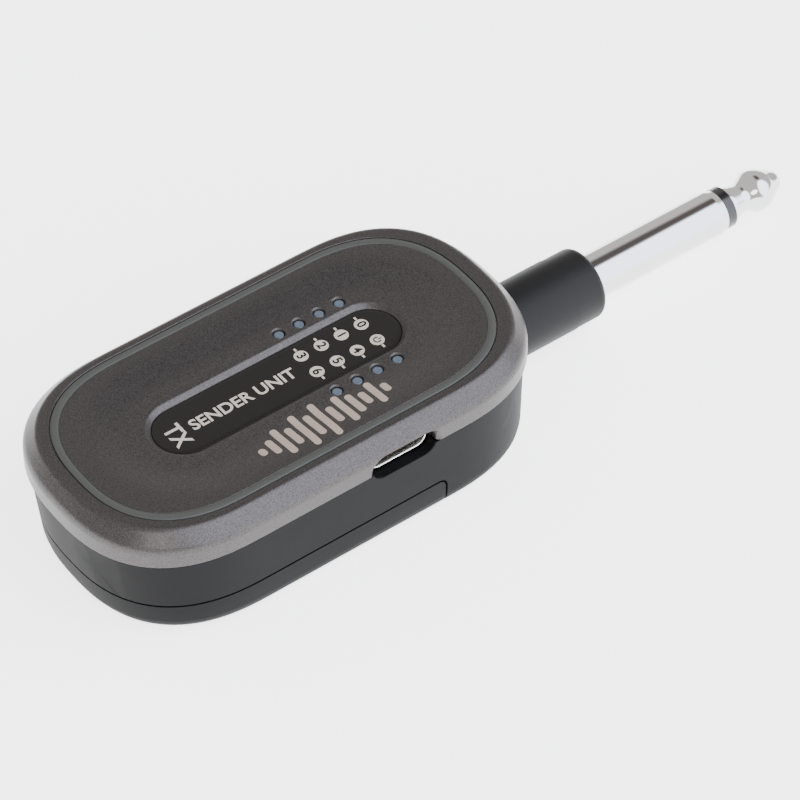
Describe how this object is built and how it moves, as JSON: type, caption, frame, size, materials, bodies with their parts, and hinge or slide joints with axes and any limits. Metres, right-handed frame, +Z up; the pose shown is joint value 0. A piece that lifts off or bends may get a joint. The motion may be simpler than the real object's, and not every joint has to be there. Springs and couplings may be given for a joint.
{
  "type": "wireless guitar transmitter",
  "caption": "Rounded two-tone wireless transmitter for a guitar, with a fold-out quarter-inch jack plug, status lights, push buttons and a USB-C charging socket.",
  "frame": {"origin": "the plug's shoulder, where the chrome shaft leaves the collar, on the plug's axis", "axes": "+X out along the plug, +Y across the body towards the buttons, +Z up out of the printed face"},
  "size_m": [0.1164, 0.0354, 0.0186],
  "materials": {
    "shell_paint": "dark gunmetal metallic paint on a moulded shell",
    "stripe": "grey-green satin inlay",
    "badge": "gloss black with cream print",
    "light_pipe": "clear blue-grey acrylic",
    "housing": "fine matte black moulding",
    "button": "matte black moulding",
    "board": "green circuit board",
    "steel": "bright steel",
    "black_steel": "black zinc",
    "chrome": "mirror nickel plating",
    "gold": "gold-plated contacts",
    "insulator": "black insulating ring",
    "chip": "black epoxy package",
    "ceramic": "white ceramic antenna",
    "led": "clear lens",
    "pouch": "silver laminate pouch",
    "foam": "black foam",
    "cable": "insulated lead",
    "connector": "natural nylon"
  },
  "bodies": {
    "housing": {"top_shell": "shell_paint", "face_stripe": "stripe", "badge_plate": "badge", "light_pipes_far": "light_pipe", "light_pipes_near": "light_pipe", "mid_housing": "housing", "bottom_cover": "housing", "case_screws": "black_steel", "main_board": "board", "usb_shell": "steel", "usb_tongue": "chip", "usb_contacts": "gold", "status_leds": "led", "rf_shield": "steel", "radio_chip": "chip", "audio_chip": "chip", "charger_chip": "chip", "chip_antenna": "ceramic", "side_switches": "chip", "battery": "pouch", "battery_foam": "foam", "battery_leads": "cable", "battery_connector": "connector", "hinge_pin_near": "steel", "hinge_pin_far": "steel", "friction_washers": "steel", "board_lead": "cable"},
    "plug": {"plug_arm": "housing", "plug_collar": "housing", "plug_sleeve": "chrome", "plug_insulator": "insulator", "plug_tip": "chrome", "plug_lugs": "gold", "plug_lead": "cable"},
    "power_button": {"power_button": "button"},
    "channel_button": {"channel_button": "button"}
  },
  "joints": [
    {"name": "plug_fold", "type": "hinge", "parent": "housing", "child": "plug", "pos_m": [-0.0214, 0, 0], "axis": [0, 1, 0], "range_deg": [0, 180]},
    {"name": "power_press", "type": "slide", "parent": "housing", "child": "power_button", "axis": [0, -1, 0], "range_m": [0, 0.00035], "stiffness_N_per_m": 3000},
    {"name": "channel_press", "type": "slide", "parent": "housing", "child": "channel_button", "axis": [0, -1, 0], "range_m": [0, 0.00035], "stiffness_N_per_m": 3000}
  ]
}
